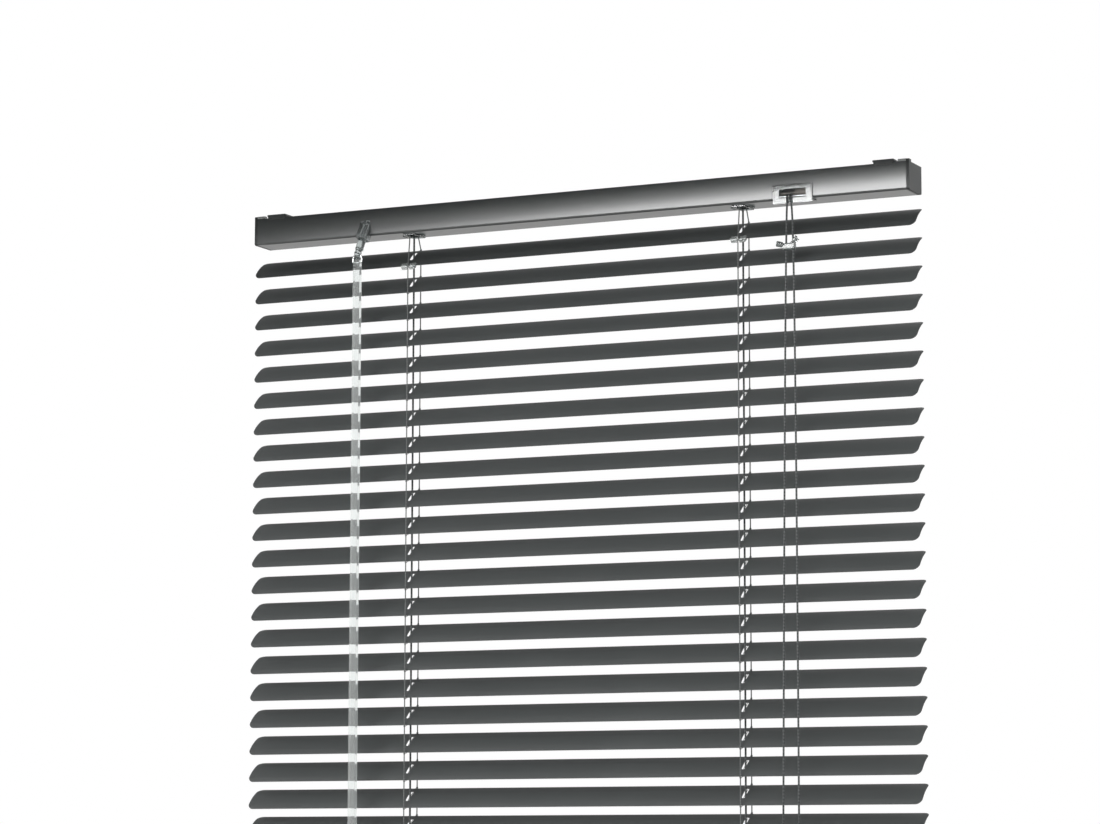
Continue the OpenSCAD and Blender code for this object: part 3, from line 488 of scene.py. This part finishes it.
# Pull cords: the free ends of the same cords, over the lock's bar and down to their tassels.
# They bow apart under the small joiner that ties them, and pay out of the lock as they are pulled.
pin_low, pin_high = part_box("cord_lock_pin")
pin_at = (pin_low + pin_high) / 2
over_radius = 0.0032
over_steps, fall_steps = 7, 25
over_z = pin_high.z + cord_radius + 0.0003
grip_y = cord_in.y - 0.0011
bar_y = pin_at.y + 0.0006
pull_y = pin_at.y - over_radius
pull_lean = 0.0048
pull_start = rail_floor - 0.002
tassel_bore = 0.006
for side, start_x, drift, bow in (("left", lane_far, -0.0045, 0.6),
                                  ("right", lane_near, 0.0056, 0.35)):
    pull_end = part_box("tassel_" + side)[1].z - tassel_bore
    route = [Vector((start_x, grip_y, over_z)), Vector((start_x, bar_y, over_z))]
    for k in range(over_steps + 1):
        t = math.pi / 2 * k / over_steps
        route.append(Vector((start_x, pin_at.y - over_radius * math.sin(t),
                             over_z - over_radius * (1 - math.cos(t)))))
    for k in range(fall_steps + 1):
        s = (k / fall_steps) ** 2
        route.append(Vector((start_x + drift * s ** bow, pull_y - pull_lean * s,
                             pull_start + (pull_end - pull_start) * s)))
    pull = braided_tube("cord_pull_" + side, route, cord_radius)
    pull.data.materials.append(cord_braid)
    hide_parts("pull_cord_" + side)
    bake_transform(pull)


# Joiner and tassels: a polycarbonate breakaway joiner that ties the pull cords, smoked so that
# it shows dark edges, and two grained ABS pulls on the cords' free ends.
smoked, shader = new_finish("smoked_polycarbonate", IOR=1.58, Transmission_Weight=0.85)
mottle(smoked, shader, dark="#7d8383", light="#979d9c", patch=0.004, rough=(0.08, 0.18),
       grain=0.0016, depth=0.00002)
dress(smoked, "cord_equaliser")
dress(caps_abs, "tassel_left", "tassel_right")


# Studio: a pale floor below the hung blind, a white surround and soft lights.
# A dark board keeps light off the rail's front from above, and a bright card before it, seen only
# in reflections, gives the rail's paint its gradient.
paper_white = linear("#ffffff")
overhead_from, overhead_to, overhead_share = 0.25, 0.7, 0.16
ambient_strength, mirrored_strength, white_strength = 0.36, 0.1, 1.0
world = bpy.data.worlds.new("studio")
bpy.context.scene.world = world
world.use_nodes = True
world.node_tree.nodes.clear()
path = add(world, "ShaderNodeLightPath").outputs
heading = add(world, "ShaderNodeTexCoord")
height = add(world, "ShaderNodeSeparateXYZ", {0: heading.outputs["Generated"]})
overhead = add(world, "ShaderNodeMapRange",
               {"Value": height.outputs["Z"], "From Min": overhead_from, "From Max": overhead_to,
                "To Min": 1.0, "To Max": overhead_share})
seen = add(world, "ShaderNodeMath", {0: path["Is Camera Ray"], 1: path["Is Transmission Ray"]},
           operation="MAXIMUM")
mirrored = add(world, "ShaderNodeMath", {0: path["Is Glossy Ray"], 1: overhead.outputs[0]},
               operation="MULTIPLY")
shown = add(world, "ShaderNodeMath", {0: seen.outputs[0], 1: mirrored.outputs[0]},
            operation="MAXIMUM")
ambient, dark, white = (
    add(world, "ShaderNodeBackground", {"Color": paper_white, "Strength": strength}).outputs[0]
    for strength in (ambient_strength, mirrored_strength, white_strength))
base = add(world, "ShaderNodeMixShader", {0: path["Is Glossy Ray"], 1: ambient, 2: dark})
mixed = add(world, "ShaderNodeMixShader", {0: shown.outputs[0], 1: base.outputs[0], 2: white})
add(world, "ShaderNodeOutputWorld", {"Surface": mixed.outputs[0]})


def lamp(name, place, aim, size, power):
    """A square soft light at a place, turned to a point."""
    light = bpy.data.lights.new(name, "AREA")
    light.size, light.energy = size, power
    item = bpy.data.objects.new(name, light)
    item.location = place
    item.rotation_euler = (Vector(aim) - Vector(place)).to_track_quat("-Z", "Y").to_euler()
    bpy.context.scene.collection.objects.link(item)


middle = (cad_low + cad_high) / 2
lamp("key", place=(-1.2, -2.2, 1.1), aim=middle, size=1.6, power=37)
lamp("fill", place=(1.8, -1.6, 0.6), aim=middle, size=1.6, power=15)
lamp("back", place=(0.4, 1.8, 1.2), aim=middle, size=1.4, power=18)


def card(name, corners, colour, strength, fade=None):
    """A flat card that no camera sees, with an even glow or one that fades along X."""
    shape = bmesh.new()
    shape.faces.new([shape.verts.new(c) for c in corners])
    mesh = bpy.data.meshes.new(name)
    shape.to_mesh(mesh)
    shape.free()
    item = bpy.data.objects.new(name, mesh)
    bpy.context.scene.collection.objects.link(item)
    glow = bpy.data.materials.new(name)
    glow.use_nodes = True
    glow.node_tree.nodes.clear()
    light = add(glow, "ShaderNodeEmission", {"Color": linear(colour), "Strength": strength})
    if fade:
        place = add(glow, "ShaderNodeTexCoord").outputs["Object"]
        spot = add(glow, "ShaderNodeSeparateXYZ", {0: place})
        ramp = add(glow, "ShaderNodeMapRange",
                   {"Value": spot.outputs["X"], "From Min": fade[0], "From Max": fade[1],
                    "To Max": strength}, interpolation_type="SMOOTHSTEP")
        glow.node_tree.links.new(ramp.outputs[0], light.inputs["Strength"])
    add(glow, "ShaderNodeOutputMaterial", {"Surface": light.outputs[0]})
    glow.cycles.emission_sampling = "FRONT_BACK" if fade else "NONE"
    mesh.materials.append(glow)
    item.visible_camera = item.visible_transmission = False
    return item


board_left, board_right = -0.6, 0.4
board_back, board_front_left, board_front_right = -0.016, -0.165, -0.09
board_z = cad_high.z + 0.004
card("ceiling_board",
     [(board_left, board_back, board_z), (board_left, board_front_left, board_z),
      (board_right, board_front_right, board_z), (board_right, board_back, board_z)],
     "#383a3a", 1.0)
card_left, card_right, card_y, card_low, card_high = -2.0, 0.6, -2.0, 0.1, 0.9
bright = card("bright_card",
              [(card_left, card_y, card_low), (card_right, card_y, card_low),
               (card_right, card_y, card_high), (card_left, card_y, card_high)],
              "#ffffff", 13.5, fade=(-1.65, -0.7))
bright.visible_diffuse = bright.visible_shadow = False

floor_reach, floor_drop = 6.0, 0.12
fade_from, fade_to = 0.5, 1.4
floor_mirrored = 0.15
floor_mesh = bpy.data.meshes.new("floor")
floor_shape = bmesh.new()
bmesh.ops.create_grid(floor_shape, x_segments=1, y_segments=1, size=floor_reach)
bmesh.ops.translate(floor_shape, verts=floor_shape.verts, vec=(0, 0, cad_low.z - floor_drop))
floor_shape.to_mesh(floor_mesh)
floor_shape.free()
floor = bpy.data.objects.new("floor", floor_mesh)
bpy.context.scene.collection.objects.link(floor)
pale_floor, shader = new_finish("pale_floor", Base_Color=linear("#ececea"), Roughness=0.8)
place = add(pale_floor, "ShaderNodeTexCoord").outputs["Object"]
flat = add(pale_floor, "ShaderNodeVectorMath", {0: place, 1: (1, 1, 0)}, operation="MULTIPLY")
out_from = add(pale_floor, "ShaderNodeVectorMath", {0: flat.outputs[0]}, operation="LENGTH")
fade = add(pale_floor, "ShaderNodeMapRange",
           {"Value": out_from.outputs["Value"], "From Min": fade_from, "From Max": fade_to},
           interpolation_type="SMOOTHSTEP")
path = add(pale_floor, "ShaderNodeLightPath").outputs
direct = add(pale_floor, "ShaderNodeMath",
             {0: path["Is Camera Ray"], 1: path["Is Transmission Ray"]}, operation="MAXIMUM")
mirrored = add(pale_floor, "ShaderNodeMath", {0: path["Is Glossy Ray"], 1: floor_mirrored},
               operation="MULTIPLY")
looked_at = add(pale_floor, "ShaderNodeMath", {0: direct.outputs[0], 1: mirrored.outputs[0]},
                operation="MAXIMUM")
far_off = add(pale_floor, "ShaderNodeMath", {0: fade.outputs[0], 1: looked_at.outputs[0]},
              operation="MULTIPLY")
surround = add(pale_floor, "ShaderNodeEmission", {"Color": paper_white, "Strength": white_strength})
joined = add(pale_floor, "ShaderNodeMixShader",
             {0: far_off.outputs[0], 1: shader.outputs[0], 2: surround.outputs[0]})
floor_surface = pale_floor.node_tree.nodes["Material Output"].inputs["Surface"]
pale_floor.node_tree.links.new(joined.outputs[0], floor_surface)
pale_floor.cycles.emission_sampling = "NONE"
floor_mesh.materials.append(pale_floor)


# Camera: at the picture's viewpoint, low on the right, looking up at the rail.
# The focal length is the picture's, on a 36 mm wide sensor. Places in metres, turns in radians.
picture_width = 1100
focal_pixels = 3524.29
camera = bpy.data.cameras.new("camera")
camera.sensor_width = 36.0
camera.lens = focal_pixels * camera.sensor_width / picture_width
eye = bpy.data.objects.new("camera", camera)
eye.location = (1.16314, -2.46020, -0.53309)
turn, lift_up, roll = 0.4487, 0.1309, 0.0023
level = math.pi / 2
aimed = (Matrix.Rotation(turn, 3, "Z") @ Matrix.Rotation(level + lift_up, 3, "X")
         @ Matrix.Rotation(roll, 3, "Z"))
eye.rotation_euler = aimed.to_euler()
bpy.context.scene.collection.objects.link(eye)
bpy.context.scene.camera = eye
bpy.context.scene.view_settings.view_transform = "Standard"
